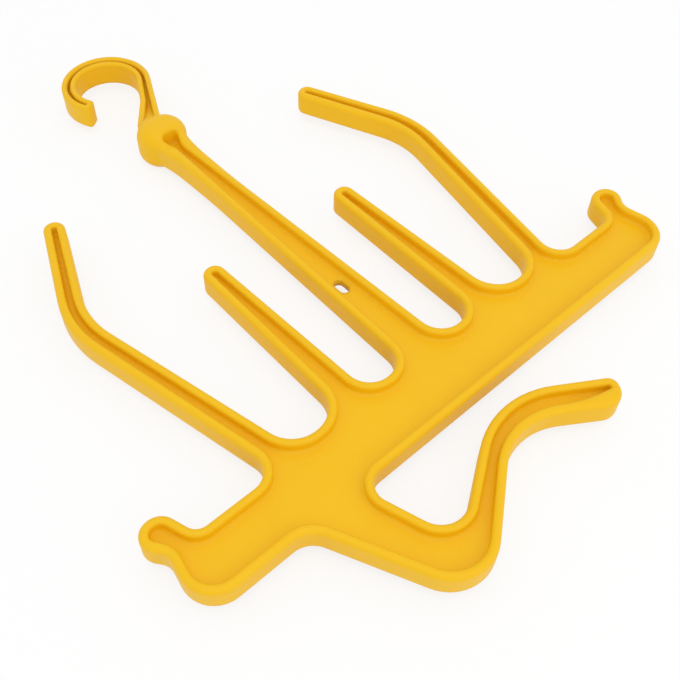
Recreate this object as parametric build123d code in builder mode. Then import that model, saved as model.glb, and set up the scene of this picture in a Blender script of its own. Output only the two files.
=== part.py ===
"""Wetsuit hanger: one moulding with the same H section everywhere, a rail hook, a ball and a J-hook.

The hanger lies flat. X runs along the crossbar, Y runs up the shaft to the rail hook and Z is through
the thickness. The foot of the bar is at Y = 0 and the middle of the web is at Z = 0 while it is modelled.
"""
import os
from math import acos, asin, atan2, cos, hypot, radians, sin, tan

from build123d import *

# Section
thickness = 20.0        # over the rims
web = 5.0               # the wall left between the two recesses
rim = 6.0               # width of the rim round every edge
rim_round = 3.6         # rounding of the rim's outer edges
rim_inner_round = 2.2   # rounding of its edges on the recess
floor_round = 1.4       # fillet where the rim meets the web

# Crossbar and its end lips
bar_half = 218.3        # corner of the foot, before rounding
bar_height = 40.5
foot_round = 21.5
neck_x = 210.0
neck_y = 40.5
neck_round = 11.5
lip_outer_x = 227.2
lip_outer_y = 63.0
lip_outer_round = 13.5
lip_inner_x = 197.6
lip_inner_y = 66.3
lip_inner_round = 15.0
lip_root_x = 189.3
lip_root_round = 9.0

# Outer arms: they lean out from the bar, bend, and lean in to a round tip
arm_width = 18.7
arm_tip_width = 15.5
arm_foot_x = 121.5      # middle of the arm at the top of the bar
arm_bend_x = 158.2
arm_bend_y = 215.0
arm_tip_x = 118.5
arm_tip_y = 307.5
arm_bend_round = 75.0   # radius of the middle of the bend
arm_root_round = 14.0

# Inner prongs, slots and shaft
slot_floor = 46.5
outer_slot_round = 22.0
inner_slot_round = 17.5
prong_x = 61.4
prong_width = 22.9      # at the floor of the slots
prong_tip_width = 15.9
prong_tip_y = 197.5
shaft_width = 33.1      # at the floor of the slots
shaft_waist_width = 20.6
shaft_waist_y = 262.0
shaft_waist_round = 800.0
shaft_neck_width = 22.4  # where it starts to widen towards the ball
shaft_neck_round = 150.0

# Ball: a flattened one, widest across the shaft
ball_y = 338.0
ball_width = 40.2       # across the shaft
ball_length = 36.0      # along it
ball_thick = 34.5
ball_round = 12.0       # rounding of its two faces into its side
ball_wall = 10.5        # from the ball's centre to where the shaft's recess starts
recess_end_width = 15.0  # of the shaft's recess where it starts, in the ball
recess_neck_width = 5.0  # of the same recess at its narrowest
recess_neck = 23.0      # from the ball's centre to there
recess_neck_round = 20.0
ball_neck = 29.0        # from the ball's centre to where the shaft starts to widen
shaft_flare_width = 31.5  # width of the shaft where it ends in the ball
shaft_blend = 8.0       # hollow radius where the ball runs into the shaft
ramp_start = 48.0       # from the ball's centre to where the shank's web starts to rise to the ball
ramp_curve = 60.0       # radius of that rise

# Rail hook
hook_x = 2.4
hook_rise = 81.6        # from the ball's centre up to the hook's centre
hook_inner = 25.2       # radius of the rail seat
hook_band = 11.5
hook_rim = 4.6          # the rim is slimmer on the narrow band
hook_round = 1.9
hook_tip_angle = 214.5
hook_tip_round = 3.0    # corners of the band's end
shank_foot_round = 9.0  # corners of its other end, in the ball
shank_out = 2.2         # how far the shank's outer edge passes the ball's centre
shank_in = 19.4         # how far its inner edge passes on the other side
shank_neck = 44.0       # along the outer edge from the ball to the shank's narrowest place
shank_neck_width = 12.6
shank_neck_round = 18.0

# Hole through the web of the shaft
hole_y = 125.8
hole_width = 7.5
hole_length = 13.0

# J-hook under the bar
j_root_left = -142.0
j_root_left_round = 16.5
j_root_right = -101.0
j_root_right_round = 12.5
j_bottom_x = -94.8
j_bottom_y = -100.5
j_bottom_round = 30.0
j_valley_x = -81.3
j_valley_y = -62.7
j_valley_round = 17.5
j_under_x = 1.4
j_under_y = -28.7
j_under_round = 47.0
j_crest_x = 6.2
j_crest_y = -7.0
j_crest_round = 64.0
j_tip_low_x = 67.5
j_tip_low_y = -72.2
j_tip_low_round = 14.5
j_tip_high_x = 75.4
j_tip_high_y = -50.8
j_tip_high_round = 7.5


def eased(corners):
    """Limits each corner's rounding to what its two edges have room for."""
    n = len(corners)
    turn, length = [], []
    for i in range(n):
        (ax, ay, _), (bx, by, _), (cx, cy, _) = corners[i - 1], corners[i], corners[(i + 1) % n]
        a = atan2(cy - by, cx - bx) - atan2(by - ay, bx - ax)
        a = abs((a + radians(180)) % radians(360) - radians(180))
        turn.append(tan(a / 2))
        length.append(hypot(cx - bx, cy - by))
    reach = [c[2] * t for c, t in zip(corners, turn)]
    share = [min(1.0, 0.98 * length[i] / (reach[i] + reach[(i + 1) % n])) for i in range(n)]
    points = [(c[0], c[1]) for c in corners]
    return points, [c[2] * min(share[i - 1], share[i]) for i, c in enumerate(corners)]


def moved_in(points, radii, inset):
    """The same outline, moved in by the inset, with each rounding kept about its own centre."""
    n = len(points)
    corners = []
    for i in range(n):
        (ax, ay), (bx, by), (cx, cy) = points[i - 1], points[i], points[(i + 1) % n]
        d1, d2 = hypot(bx - ax, by - ay), hypot(cx - bx, cy - by)
        n1 = ((ay - by) / d1, (bx - ax) / d1)
        n2 = ((by - cy) / d2, (cx - bx) / d2)
        k = inset / (1 + n1[0] * n2[0] + n1[1] * n2[1])
        outward = n1[0] * n2[1] - n1[1] * n2[0] > 0
        radius = max(radii[i] - inset, inset / 8) if outward else radii[i] + inset
        corners.append((bx + k * (n1[0] + n2[0]), by + k * (n1[1] + n2[1]), radius))
    return corners


def beside(start, end, offset):
    """A point's worth of sideways shift, to the right of the way from start to end."""
    d = hypot(end[0] - start[0], end[1] - start[1])
    return (end[1] - start[1]) / d * offset, -(end[0] - start[0]) / d * offset


half = thickness / 2
recess = (thickness - web) / 2

# Arm corners, from its middle line and its width
arm_foot = (arm_foot_x, bar_height)
arm_bend = (arm_bend_x, arm_bend_y)
arm_tip = (arm_tip_x, arm_tip_y)
low = beside(arm_foot, arm_bend, arm_width / 2)
high = beside(arm_bend, arm_tip, arm_tip_width / 2)
mid = ((low[0] + high[0] * arm_width / arm_tip_width) / 2, (low[1] + high[1] * arm_width / arm_tip_width) / 2)

right = [
    (bar_half, 0, foot_round),
    (neck_x, neck_y, neck_round),
    (lip_outer_x, lip_outer_y, lip_outer_round),
    (lip_inner_x, lip_inner_y, lip_inner_round),
    (lip_root_x, bar_height, lip_root_round),
    (arm_foot[0] + low[0], bar_height, arm_root_round),
    (arm_bend[0] + mid[0], arm_bend[1] + mid[1], arm_bend_round + arm_width / 2),
    (arm_tip[0] + high[0], arm_tip[1] + high[1], arm_tip_width / 2),
    (arm_tip[0] - high[0], arm_tip[1] - high[1], arm_tip_width / 2),
    (arm_bend[0] - mid[0], arm_bend[1] - mid[1], arm_bend_round - arm_width / 2),
    (arm_foot[0] - low[0], slot_floor, outer_slot_round),
    (prong_x + prong_width / 2, slot_floor, outer_slot_round),
    (prong_x + prong_tip_width / 2, prong_tip_y, prong_tip_width / 2),
    (prong_x - prong_tip_width / 2, prong_tip_y, prong_tip_width / 2),
    (prong_x - prong_width / 2, slot_floor, inner_slot_round),
    (shaft_width / 2, slot_floor, inner_slot_round),
    (shaft_waist_width / 2, shaft_waist_y, shaft_waist_round),
    (shaft_neck_width / 2, ball_y - ball_neck, shaft_neck_round),
    (shaft_flare_width / 2, ball_y - ball_wall + rim, rim + rim_inner_round),
]
left = [(-x, y, r) for x, y, r in reversed(right)]
j_hook = [
    (j_root_left, 0, j_root_left_round),
    (j_bottom_x, j_bottom_y, j_bottom_round),
    (j_under_x, j_under_y, j_under_round),
    (j_tip_low_x, j_tip_low_y, j_tip_low_round),
    (j_tip_high_x, j_tip_high_y, j_tip_high_round),
    (j_crest_x, j_crest_y, j_crest_round),
    (j_valley_x, j_valley_y, j_valley_round),
    (j_root_right, 0, j_root_right_round),
]
points, radii = eased(right + left + j_hook)
pocket = moved_in(points, radii, rim)
top = len(right)
for i, side in ((top - 2, 1), (top + 1, -1)):
    pocket[i] = (side * recess_neck_width / 2, ball_y - recess_neck, recess_neck_round)
for i, side in ((top - 1, 1), (top, -1)):
    pocket[i] = (side * recess_end_width / 2, ball_y - ball_wall, rim_inner_round)
pocket_points, pocket_radii = eased(pocket)

# Rail hook: where its band leaves the two circles, and where it ends inside the ball
ball = Vector(0, ball_y, 0)
hook_y = ball_y + hook_rise
hook_outer = hook_inner + hook_band
down_to_ball = atan2(-hook_rise, -hook_x) / radians(1)
ball_reach = hypot(hook_x, hook_rise)
shank_out_angle = down_to_ball + acos((hook_outer - shank_out) / ball_reach) / radians(1)
along = Vector(-sin(radians(shank_out_angle)), cos(radians(shank_out_angle)), 0)
across = Vector(-along.Y, along.X, 0)
shank_waist = ball + along * shank_neck + across * (shank_neck_width - shank_out)
from_hook = shank_waist - Vector(hook_x, hook_y, 0)
neck_angle = atan2(from_hook.Y, from_hook.X) / radians(1) + acos(hook_inner / from_hook.length) / radians(1)
to_ball = ball - shank_waist
flare_angle = atan2(to_ball.Y, to_ball.X) - asin(shank_in / to_ball.length)


def shank_edge(radius, angle, short):
    """Start on a circle of the hook and end beside the ball's centre of a straight edge of the shank."""
    start = Vector(hook_x + radius * cos(radians(angle)), hook_y + radius * sin(radians(angle)), 0)
    way = Vector(sin(radians(angle)), -cos(radians(angle)), 0)
    return start, start + way * ((ball - start).dot(way) - short)


def band(inset):
    """The hook's band, moved in by the inset, from its tip to its end inside the ball."""
    outer, inner = hook_outer - inset, hook_inner + inset
    tip = hook_tip_angle - inset / (outer + inner) * 2 / radians(1)
    outer_start, outer_end = shank_edge(outer, shank_out_angle, inset)
    n1 = Vector(cos(radians(neck_angle)), sin(radians(neck_angle)), 0)
    n2 = Vector(-sin(flare_angle), cos(flare_angle), 0)
    waist = shank_waist + (n1 + n2) * (inset / (1 + n1.dot(n2)))
    way = Vector(cos(flare_angle), sin(flare_angle), 0)
    inner_end = waist + way * ((ball - waist).dot(way) - inset)
    with BuildSketch() as face:
        with BuildLine():
            far = CenterArc((hook_x, hook_y), outer, shank_out_angle, tip - shank_out_angle)
            near = CenterArc((hook_x, hook_y), inner, neck_angle, tip - neck_angle)
            Line(far @ 1, near @ 1)
            Polyline(outer_start, outer_end, inner_end, waist, near @ 0)
        make_face()
        fillet(face.vertices().sort_by_distance(waist)[0], shank_neck_round + inset)
        fillet(face.vertices().sort_by(Axis.X)[:2], min(hook_tip_round, (hook_band / 2 - inset) * 0.9))
        fillet(face.vertices().sort_by(Axis.Y)[:2], shank_foot_round - inset)
    return face.sketch


with BuildPart() as knob:
    with BuildSketch(Plane.XY.offset(-ball_thick / 2)):
        with Locations((0, ball_y)):
            SlotOverall(ball_width, ball_length)
    extrude(amount=ball_thick)
    levels = knob.edges().group_by(Axis.Z)
    fillet(levels[0] + levels[-1], ball_round)

with BuildPart() as body:
    # Bar, arms, prongs, shaft and J-hook
    with BuildSketch(Plane.XY.offset(-half)):
        with BuildLine():
            FilletPolyline(*points, radius=radii, close=True)
        make_face()
    extrude(amount=thickness)
    levels = body.edges().group_by(Axis.Z)
    fillet(levels[0] + levels[-1], rim_round)

    # Ball on the end of the shaft, blended into it
    add(knob.part)
    fillet([e for e in body.edges(Select.NEW) if e.center().Y < ball_y], shaft_blend)

    # Recesses, which run on into the ball and end there
    with BuildSketch(Plane.XY.offset(web / 2), Plane.XY.offset(-web / 2 - ball_thick)):
        with BuildLine():
            FilletPolyline(*pocket_points, radius=pocket_radii, close=True)
        make_face()
    extrude(amount=ball_thick, mode=Mode.SUBTRACT)
    cut = body.edges(Select.LAST)
    fillet([e for e in cut if abs(e.center().Z) > half - 1e-3 and abs((e % 0.5).Z) < 0.9], rim_inner_round)
    fillet([e for e in cut if abs(abs(e.center().Z) - web / 2) < 1e-3], floor_round)
    with BuildSketch(Plane.XY.offset(-web)):
        with Locations((0, hole_y)):
            SlotOverall(hole_length, hole_width, rotation=90)
    extrude(amount=2 * web, mode=Mode.SUBTRACT)

with BuildPart() as rail_hook:
    with BuildSketch(Plane.XY.offset(-half)):
        add(band(0))
    extrude(amount=thickness)
    levels = rail_hook.edges().group_by(Axis.Z)
    fillet(levels[0] + levels[-1], hook_round)
    with BuildSketch(Plane.XY.offset(web / 2), Plane.XY.offset(-half)):
        add(band(hook_rim))
    extrude(amount=recess, mode=Mode.SUBTRACT)
    cut = rail_hook.edges(Select.LAST)
    fillet([e for e in cut if abs(abs(e.center().Z) - half) < 1e-3], hook_round)

with BuildPart() as ramp:
    # The shank's web, rising all round the ball in a hollow curve
    with BuildSketch(Plane(ball, x_dir=(1, 0, 0), z_dir=(0, -1, 0))):
        with BuildLine():
            low = web / 2 + ramp_curve
            under = CenterArc((ramp_start, -low), ramp_curve, 90, 35)
            over = CenterArc((ramp_start, low), ramp_curve, 270, -35)
            Line(under @ 0, over @ 0)
            Polyline(under @ 1, (0, (under @ 1).Y), (0, (over @ 1).Y), over @ 1)
        make_face()
    revolve(axis=Axis(ball, (0, 0, 1)))
    with BuildSketch(Plane.XY.offset(-ball_thick / 2)):
        add(band(hook_round))
    extrude(amount=ball_thick, mode=Mode.INTERSECT)

with BuildPart() as hanger:
    add(body.part)
    add(rail_hook.part)
    add(ramp.part)

# The origin goes to the middle of the lying hanger's box, at the height of the ball's lowest point
box = hanger.part.bounding_box()
moulding = Pos(0, -box.center().Y, -box.min.Z) * hanger.part
moulding.label = "hanger"
os.makedirs("parts", exist_ok=True)
export_step(moulding, "parts/hanger.step")
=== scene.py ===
"""Wetsuit hanger in satin yellow plastic, lying on a pale studio floor.

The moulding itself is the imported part. This file gives it its plastic, widens the rim at the tip of
its J-hook, and sets the floor, the lamps, the world and the camera around it. All lengths are metres in
the part's own frame.
"""
from math import cos, radians, sin

import bpy
import numpy as np
from mathutils import Matrix, Vector


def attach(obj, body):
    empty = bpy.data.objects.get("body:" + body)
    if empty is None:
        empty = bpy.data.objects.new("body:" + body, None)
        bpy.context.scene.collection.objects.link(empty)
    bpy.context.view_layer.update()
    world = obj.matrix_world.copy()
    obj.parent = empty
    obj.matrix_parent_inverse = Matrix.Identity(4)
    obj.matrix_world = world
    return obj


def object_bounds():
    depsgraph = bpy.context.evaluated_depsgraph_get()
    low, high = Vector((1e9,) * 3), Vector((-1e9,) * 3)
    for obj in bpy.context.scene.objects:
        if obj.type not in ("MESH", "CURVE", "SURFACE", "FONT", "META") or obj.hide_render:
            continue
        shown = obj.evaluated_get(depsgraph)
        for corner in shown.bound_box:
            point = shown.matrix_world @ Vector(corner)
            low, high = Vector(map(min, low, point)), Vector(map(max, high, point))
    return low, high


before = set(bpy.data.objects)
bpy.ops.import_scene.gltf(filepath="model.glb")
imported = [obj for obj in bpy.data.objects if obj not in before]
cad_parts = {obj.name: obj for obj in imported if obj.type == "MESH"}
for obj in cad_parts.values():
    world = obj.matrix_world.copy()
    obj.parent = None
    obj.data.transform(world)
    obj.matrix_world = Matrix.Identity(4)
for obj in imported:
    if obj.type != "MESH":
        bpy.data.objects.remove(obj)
cad_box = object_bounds()

bl_info = {
    "name": "Wetsuit hanger",
    "version": (1, 0, 0),
    "blender": (4, 5, 0),
    "location": "3D View > Sidebar > Hanger",
    "description": "Moulded yellow wetsuit hanger on a studio floor",
    "category": "Object",
}

MM = 0.001

# The moulding's H section, which is the same above and below its middle
THICKNESS = 20 * MM
WEB = 5 * MM
RIM = 6 * MM
RIM_ROUND = 3.6 * MM
RIM_INNER_ROUND = 2.2 * MM
MIDDLE = (cad_box[0].z + cad_box[1].z) / 2
RIM_HEIGHT = MIDDLE + THICKNESS / 2

# How the piece at the J-hook's tip meets the moulding
TIP_HIDDEN = 0.1 * MM          # its sides and foot are this far inside the moulding
TIP_PROUD = 0.03 * MM          # its top is this far above the rim
TIP_SUNK = 0.06 * MM           # but at its two ends it is this far below the rim
TIP_SUNK_RUN = 4 * MM          # length of the rise at its start
TIP_SUNK_TURN = radians(11)    # turn over which it sinks at its end
TIP_BEND = 0.35                # where its edge begins to leave the straight, as a share of the edge
TIP_STEPS = 30                 # along the straight, and again round the corner
ROUND_STEPS = 9                # over a quarter of a circle
TIP_CREASE = radians(35)       # edges that turn by more than this stay sharp

# Studio
WHITE = (1.0, 1.0, 1.0, 1.0)
FLOOR_REACH = 20.0
FLOOR_GAP = 0.2 * MM           # keeps the floor out of the plane of the ball's flat underside
KEY_PLACE = Vector((-0.4, -0.42, 2.0))
KEY_SIZE = 0.8
FOOT_PLACE = Vector((0.2, -1.5, 1.0))
FOOT_SIZE = 1.2
IMAGE = 680                    # the picture is square, this many pixels each way
SENSOR = 36.0                  # width of the camera's sensor in mm


class PlasticSettings(bpy.types.PropertyGroup):
    """The hanger's plastic."""
    colour: bpy.props.StringProperty(
        name="Colour", description="sRGB hex colour of the plastic", default="#F4C20C")
    streak_colour: bpy.props.StringProperty(
        name="Flow colour", description="sRGB hex colour of the fainter flow marks", default="#F1BB08")
    flow: bpy.props.FloatProperty(
        name="Flow marks", description="Length of the flow marks in the moulding",
        default=45 * MM, unit="LENGTH")
    grain: bpy.props.FloatProperty(
        name="Grain", description="Size of the mould's fine eroded grain as it is drawn",
        default=0.9 * MM, unit="LENGTH")
    roughness: bpy.props.FloatProperty(
        name="Roughness", description="Roughness of the satin skin",
        default=0.45, min=0, max=1, subtype="FACTOR")
    roughness_spread: bpy.props.FloatProperty(
        name="Roughness spread", description="How far the grain takes the roughness up and down",
        default=0.04, min=0, max=1, subtype="FACTOR")
    softness: bpy.props.FloatProperty(
        name="Softness", description="How far the shading softens the creases of the moulding",
        default=4.5 * MM, unit="LENGTH")


class TipSettings(bpy.types.PropertyGroup):
    """The J-hook's tip, where the near rim widens and the recess narrows. Corners are before rounding."""
    heel: bpy.props.FloatVectorProperty(
        name="Heel", description="Corner where the near edge leaves the bend",
        default=(1.4 * MM, -214.63 * MM), size=2, subtype="XYZ_LENGTH")
    near: bpy.props.FloatVectorProperty(
        name="Near corner", description="Near corner of the tip",
        default=(67.5 * MM, -258.13 * MM), size=2, subtype="XYZ_LENGTH")
    far: bpy.props.FloatVectorProperty(
        name="Far corner", description="Far corner of the tip",
        default=(75.4 * MM, -236.73 * MM), size=2, subtype="XYZ_LENGTH")
    crest: bpy.props.FloatVectorProperty(
        name="Crest", description="Corner at the other end of the far edge",
        default=(6.2 * MM, -192.93 * MM), size=2, subtype="XYZ_LENGTH")
    rounding: bpy.props.FloatProperty(
        name="Rounding", description="Rounding of the near corner", default=13.34 * MM, unit="LENGTH")
    start: bpy.props.FloatProperty(
        name="Start", description="From the heel to where the widened rim rises out of the plain one",
        default=33 * MM, unit="LENGTH")


class StageSettings(bpy.types.PropertyGroup):
    """Floor, lamps and camera."""
    floor_colour: bpy.props.StringProperty(
        name="Floor", description="sRGB hex colour of the floor", default="#FAFAFA")
    floor_white: bpy.props.FloatProperty(
        name="Floor white", description="Share of plain white that the camera sees in the floor",
        default=0.8, min=0, max=1, subtype="FACTOR")
    focal_pixels: bpy.props.FloatProperty(
        name="Focal length", description="Focal length in pixels of the square picture", default=921.5)
    pitch: bpy.props.FloatProperty(
        name="Pitch", description="Angle of the view below the horizon",
        default=radians(51.73), subtype="ANGLE")
    azimuth: bpy.props.FloatProperty(
        name="Azimuth", description="Turn of the view from +Y towards +X",
        default=radians(43.91), subtype="ANGLE")
    roll: bpy.props.FloatProperty(
        name="Roll", description="Turn of the picture about the view",
        default=radians(-1.75), subtype="ANGLE")
    distance: bpy.props.FloatProperty(
        name="Distance", description="From the camera to the point it looks at",
        default=604.6 * MM, unit="LENGTH")
    look_at: bpy.props.FloatVectorProperty(
        name="Look at", description="Point on the plane of the rims that the camera looks at",
        default=(-37.0 * MM, -98.6 * MM), size=2, subtype="XYZ_LENGTH")
    key_power: bpy.props.FloatProperty(
        name="Key lamp", description="Power of the high lamp on the camera's side",
        default=5.6, unit="POWER")
    foot_power: bpy.props.FloatProperty(
        name="Foot lamp", description="Power of the lamp that faces the foot of the bar",
        default=3.2, unit="POWER")
    sky: bpy.props.FloatProperty(
        name="Sky", description="Strength of the even light from all round", default=0.85)


def linear(hex_colour):
    """sRGB hex to linear RGBA: c/12.92 below 0.04045, else ((c + 0.055) / 1.055) to the power 2.4."""
    parts = [int(hex_colour[i:i + 2], 16) / 255 for i in (1, 3, 5)]
    return tuple(c / 12.92 if c <= 0.04045 else ((c + 0.055) / 1.055) ** 2.4 for c in parts) + (1.0,)


def add_node(tree, kind, settings=None, values=None, links=None):
    """Adds a node with its settings, its constant input values and its incoming links."""
    node = tree.nodes.new(kind)
    for name, value in (settings or {}).items():
        setattr(node, name, value)
    for name, value in (values or {}).items():
        node.inputs[name].default_value = value
    for name, socket in (links or {}).items():
        tree.links.new(socket, node.inputs[name])
    return node


def new_material(name):
    """An empty node material and its output node."""
    material = bpy.data.materials.new(name)
    material.use_nodes = True
    material.node_tree.nodes.clear()
    return material, add_node(material.node_tree, "ShaderNodeOutputMaterial")


def moulded_polypropylene(settings):
    """Injection moulded polypropylene, pigmented yellow, from a spark-eroded mould.

    The eye sees a satin skin with broad soft highlights, colour that is even but for faint flow marks,
    creases that the moulding leaves soft, and a grain too fine to make out except where a highlight
    breaks up.
    """
    material, output = new_material("moulded_polypropylene")
    tree = material.node_tree
    place = add_node(tree, "ShaderNodeTexCoord").outputs["Object"]
    flow = add_node(
        tree, "ShaderNodeTexNoise",
        values={"Scale": 1 / settings.flow, "Detail": 3.0, "Roughness": 0.55},
        links={"Vector": place})
    colour = add_node(
        tree, "ShaderNodeMix", {"data_type": "RGBA"},
        values={"A": linear(settings.colour), "B": linear(settings.streak_colour)},
        links={"Factor": flow.outputs["Fac"]})
    # The real grain is a few hundredths of a millimetre, drawn coarser here so that it shows
    grain = add_node(
        tree, "ShaderNodeTexNoise",
        values={"Scale": 1 / settings.grain, "Detail": 2.0},
        links={"Vector": place})
    skin = add_node(
        tree, "ShaderNodeMapRange",
        values={"From Min": 0.3, "From Max": 0.7,
                "To Min": settings.roughness - settings.roughness_spread,
                "To Max": settings.roughness + settings.roughness_spread},
        links={"Value": grain.outputs["Fac"]})
    soft = add_node(tree, "ShaderNodeBevel", {"samples": 8}, values={"Radius": settings.softness})
    bump = add_node(
        tree, "ShaderNodeBump",
        values={"Strength": 0.08, "Distance": 0.05 * MM},
        links={"Height": grain.outputs["Fac"], "Normal": soft.outputs["Normal"]})
    shader = add_node(
        tree, "ShaderNodeBsdfPrincipled",
        values={"IOR": 1.49, "Specular IOR Level": 0.28},
        links={"Base Color": colour.outputs["Result"], "Roughness": skin.outputs["Result"],
               "Normal": bump.outputs["Normal"]})
    tree.links.new(shader.outputs["BSDF"], output.inputs["Surface"])
    return material


def seen_directly(tree):
    """1 for camera rays, mirrored rays and rays through clear things, and 0 for light's own rays."""
    path = add_node(tree, "ShaderNodeLightPath")
    rays = path.outputs["Is Camera Ray"]
    for kind in ("Is Glossy Ray", "Is Transmission Ray"):
        either = add_node(
            tree, "ShaderNodeMath", {"operation": "MAXIMUM"}, links={0: rays, 1: path.outputs[kind]})
        rays = either.outputs["Value"]
    return rays


def painted_floor(settings):
    """Matt painted board: pale, with no gloss, near white to the camera, darker in the object's shadow."""
    material, output = new_material("painted_floor_board")
    tree = material.node_tree
    board = add_node(tree, "ShaderNodeBsdfDiffuse", values={"Color": linear(settings.floor_colour)})
    glow = add_node(tree, "ShaderNodeEmission", values={"Color": WHITE, "Strength": 1.0})
    share = add_node(
        tree, "ShaderNodeMath", {"operation": "MULTIPLY"},
        values={1: settings.floor_white}, links={0: seen_directly(tree)})
    both = add_node(
        tree, "ShaderNodeMixShader",
        links={0: share.outputs["Value"], 1: board.outputs["BSDF"], 2: glow.outputs["Emission"]})
    tree.links.new(both.outputs["Shader"], output.inputs["Surface"])
    return material


def studio_world(settings):
    """Even light from all round, and plain white where the camera looks past the floor."""
    world = bpy.data.worlds.new("studio")
    world.use_nodes = True
    tree = world.node_tree
    tree.nodes.clear()
    light = add_node(tree, "ShaderNodeBackground", values={"Color": WHITE, "Strength": settings.sky})
    white = add_node(tree, "ShaderNodeBackground", values={"Color": WHITE, "Strength": 1.0})
    both = add_node(
        tree, "ShaderNodeMixShader",
        links={0: seen_directly(tree), 1: light.outputs["Background"], 2: white.outputs["Background"]})
    add_node(tree, "ShaderNodeOutputWorld", links={"Surface": both.outputs["Shader"]})
    return world


class HANGER_OT_moulding(bpy.types.Operator):
    """Gives the moulded hanger its plastic"""
    bl_idname = "hanger.moulding"
    bl_label = "Hanger moulding"

    def execute(self, context):
        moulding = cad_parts["hanger"]
        moulding.data.materials.clear()
        moulding.data.materials.append(moulded_polypropylene(context.scene.hanger_plastic))
        return {"FINISHED"}


def unit(vector):
    """A vector of length 1, or a row of them."""
    return vector / np.linalg.norm(vector, axis=-1, keepdims=True)


def left_of(way):
    """A way in plan, turned a quarter turn to the left."""
    return np.array((-way[1], way[0]))


def bearing(way):
    """Angle of a way in plan from +X."""
    return np.arctan2(way[1], way[0])


def tip_rim_rings(tip):
    """The widened rim as rings of points, one for each step along the edge.

    Each step has a base point and a way out: along the near edge the base runs parallel to it, one
    rounding in, and round the corner the base stays at its centre while the way out turns until it lies
    along the far edge. The outer side of a ring is the rim's own section, a hair inside it. The inner side
    follows a quadratic curve that leaves the recess's near wall along the edge and ends at the recess's end
    wall. Before and after that curve the bar sinks into the rim, so that its ends don't show.
    """
    heel, near, far, crest = (np.array(corner) for corner in (tip.heel, tip.near, tip.far, tip.crest))
    along = unit(near - heel)
    ahead = unit(far - crest)
    inward = left_of(along)
    back = left_of(unit(far - near))
    centre = near + tip.rounding * (inward + back) / (1 + inward @ back)

    runs = np.linspace(tip.start, (centre - heel) @ along, TIP_STEPS)
    turned = bearing(ahead) - bearing(-inward)
    turns = np.linspace(0, turned + TIP_SUNK_TURN, TIP_STEPS)[1:]
    angles = bearing(-inward) + turns
    base = np.vstack((
        heel + runs[:, None] * along + tip.rounding * inward,
        np.tile(centre, (len(turns), 1))))
    out = np.vstack((
        np.tile(-inward, (len(runs), 1)),
        np.stack((np.cos(angles), np.sin(angles)), axis=1)))
    straight = runs[-1] - runs[0]
    way = np.concatenate((runs - runs[0], straight + tip.rounding * turns))
    end = straight + tip.rounding * turned

    first = heel + (tip.start + TIP_SUNK_RUN) * along + RIM * inward
    last = centre + (tip.rounding - RIM) * ahead
    bend = first + TIP_BEND * np.linalg.norm(last - first) * along
    t = ((way - TIP_SUNK_RUN) / (end - TIP_SUNK_RUN))[:, None]
    curve = (1 - t) ** 2 * first + 2 * t * (1 - t) * bend + t ** 2 * last
    wall = np.where((t > 0) & (t < 1), curve, base + (tip.rounding - RIM) * out)
    sunk = np.maximum(1 - way / TIP_SUNK_RUN, (way - end) / (way[-1] - end)).clip(0, 1)
    top = RIM_HEIGHT + TIP_PROUD - (TIP_PROUD + TIP_SUNK) * sunk

    quarter = np.linspace(0, np.pi / 2, ROUND_STEPS)
    inset = TIP_HIDDEN + RIM_ROUND * (1 - np.cos(quarter))
    outer = base[:, None] + out[:, None] * (tip.rounding - inset)[:, None]
    short = RIM_INNER_ROUND * (1 - np.sin(quarter))
    inner = wall[:, None] - unit(wall - outer[:, -1])[:, None] * short[:, None]
    drop = np.concatenate((RIM_ROUND * (1 - np.sin(quarter)), RIM_INNER_ROUND * (1 - np.cos(quarter))))
    foot = np.full((len(top), 1), MIDDLE + WEB / 2 - TIP_HIDDEN)
    plan = np.concatenate((outer[:, :1], outer, inner, inner[:, -1:]), axis=1)
    height = np.concatenate((foot, top[:, None] - drop, foot), axis=1)
    return np.concatenate((plan, height[..., None]), axis=2)


def closed_bar(rings):
    """Points and faces of a bar: quads from ring to ring, and one face over each end."""
    steps, around = rings.shape[:2]
    index = np.arange(steps * around).reshape(steps, around)
    after = np.roll(index, -1, axis=1)
    quads = np.stack((index[:-1], index[1:], after[1:], after[:-1]), axis=2).reshape(-1, 4)
    return rings.reshape(-1, 3), quads.tolist() + [index[0].tolist(), index[-1][::-1].tolist()]


class HANGER_OT_tip(bpy.types.Operator):
    """Widens the near rim at the J-hook's tip, above and below"""
    bl_idname = "hanger.tip"
    bl_label = "J-hook tip"

    def execute(self, context):
        upper, faces = closed_bar(tip_rim_rings(context.scene.hanger_tip))
        lower = upper * (1, 1, -1) + (0, 0, 2 * MIDDLE)
        mirrored = [[len(upper) + i for i in reversed(face)] for face in faces]
        mesh = bpy.data.meshes.new("j_tip_rim")
        mesh.from_pydata(np.vstack((upper, lower)).tolist(), [], faces + mirrored)
        mesh.shade_smooth()
        mesh.set_sharp_from_angle(angle=TIP_CREASE)
        mesh.materials.append(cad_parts["hanger"].data.materials[0])
        piece = bpy.data.objects.new("j_tip_rim", mesh)
        context.collection.objects.link(piece)
        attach(piece, "root")
        return {"FINISHED"}


def lay_floor(stage):
    """A wide square floor just under the object."""
    mesh = bpy.data.meshes.new("floor")
    signs = ((-1, -1), (1, -1), (1, 1), (-1, 1))
    corners = [(x * FLOOR_REACH, y * FLOOR_REACH, -FLOOR_GAP) for x, y in signs]
    mesh.from_pydata(corners, [], [(0, 1, 2, 3)])
    mesh.materials.append(painted_floor(stage))
    floor = bpy.data.objects.new("floor", mesh)
    bpy.context.collection.objects.link(floor)


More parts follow.
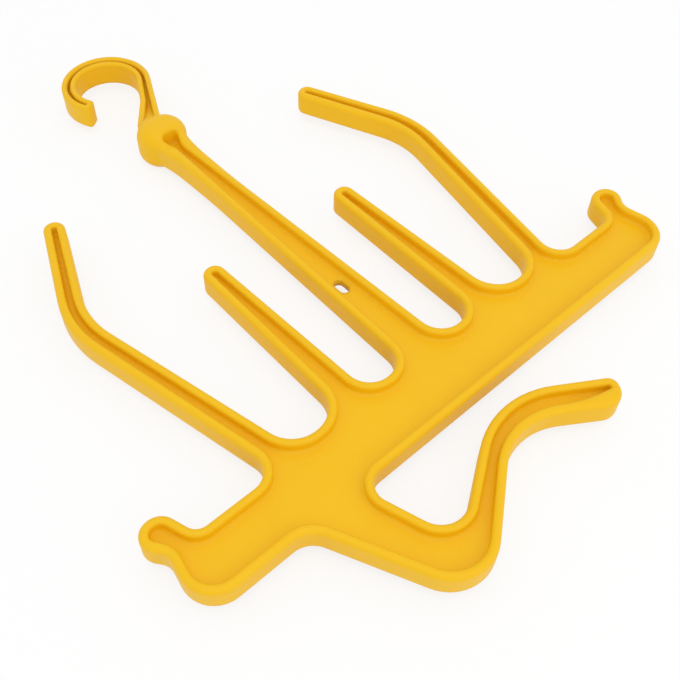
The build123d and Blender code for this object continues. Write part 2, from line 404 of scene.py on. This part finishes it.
def area_lamp(name, place, target, size, power):
    """A square soft lamp at a place, facing a target."""
    data = bpy.data.lights.new(name, "AREA")
    data.size = size
    data.energy = power
    lamp = bpy.data.objects.new(name, data)
    lamp.location = place
    lamp.rotation_euler = (target - place).to_track_quat("-Z", "Y").to_euler()
    bpy.context.collection.objects.link(lamp)


def place_camera(stage):
    """A camera that looks at a point on the rims, its axes worked out from pitch, azimuth and roll."""
    pitch, azimuth, roll = stage.pitch, stage.azimuth, stage.roll
    forward = Vector((sin(azimuth) * cos(pitch), cos(azimuth) * cos(pitch), -sin(pitch)))
    level = Vector((cos(azimuth), -sin(azimuth), 0))
    down = forward.cross(level)
    right = cos(roll) * level + sin(roll) * down
    up = sin(roll) * level - cos(roll) * down
    turned = Matrix((right, up, -forward)).transposed().to_4x4()
    target = Vector((*stage.look_at, RIM_HEIGHT))
    data = bpy.data.cameras.new("camera")
    data.sensor_width = SENSOR
    data.lens = stage.focal_pixels / IMAGE * SENSOR
    data.clip_start = 0.01
    data.clip_end = 50
    camera = bpy.data.objects.new("camera", data)
    camera.matrix_world = Matrix.Translation(target - forward * stage.distance) @ turned
    bpy.context.collection.objects.link(camera)
    bpy.context.scene.camera = camera


class HANGER_OT_stage(bpy.types.Operator):
    """Sets the floor, the lamps, the world and the camera"""
    bl_idname = "hanger.stage"
    bl_label = "Studio stage"

    def execute(self, context):
        stage = context.scene.hanger_stage
        lay_floor(stage)
        place_camera(stage)
        middle = Vector((0, 0, RIM_HEIGHT))
        area_lamp("key_lamp", middle + KEY_PLACE, middle, KEY_SIZE, stage.key_power)
        area_lamp("foot_lamp", middle + FOOT_PLACE, middle, FOOT_SIZE, stage.foot_power)
        context.scene.world = studio_world(stage)
        context.scene.view_settings.view_transform = "Standard"
        return {"FINISHED"}


class HANGER_PT_sidebar(bpy.types.Panel):
    """The hanger's pieces and settings"""
    bl_label = "Wetsuit hanger"
    bl_idname = "HANGER_PT_sidebar"
    bl_space_type = "VIEW_3D"
    bl_region_type = "UI"
    bl_category = "Hanger"

    def draw(self, context):
        for settings, operator in ((context.scene.hanger_plastic, HANGER_OT_moulding),
                                   (context.scene.hanger_tip, HANGER_OT_tip),
                                   (context.scene.hanger_stage, HANGER_OT_stage)):
            box = self.layout.box()
            for name in settings.__annotations__:
                box.prop(settings, name)
            box.operator(operator.bl_idname)


CLASSES = (
    PlasticSettings, TipSettings, StageSettings,
    HANGER_OT_moulding, HANGER_OT_tip, HANGER_OT_stage, HANGER_PT_sidebar,
)


def register():
    """Registers the classes and puts their settings on the scene."""
    for cls in CLASSES:
        bpy.utils.register_class(cls)
    bpy.types.Scene.hanger_plastic = bpy.props.PointerProperty(type=PlasticSettings)
    bpy.types.Scene.hanger_tip = bpy.props.PointerProperty(type=TipSettings)
    bpy.types.Scene.hanger_stage = bpy.props.PointerProperty(type=StageSettings)


def unregister():
    """Takes the settings off the scene and the classes out again."""
    del bpy.types.Scene.hanger_stage
    del bpy.types.Scene.hanger_tip
    del bpy.types.Scene.hanger_plastic
    for cls in reversed(CLASSES):
        bpy.utils.unregister_class(cls)


def main():
    """Registers the add-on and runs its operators."""
    register()
    bpy.ops.hanger.moulding()
    bpy.ops.hanger.tip()
    bpy.ops.hanger.stage()


if __name__ == "__main__":
    main()
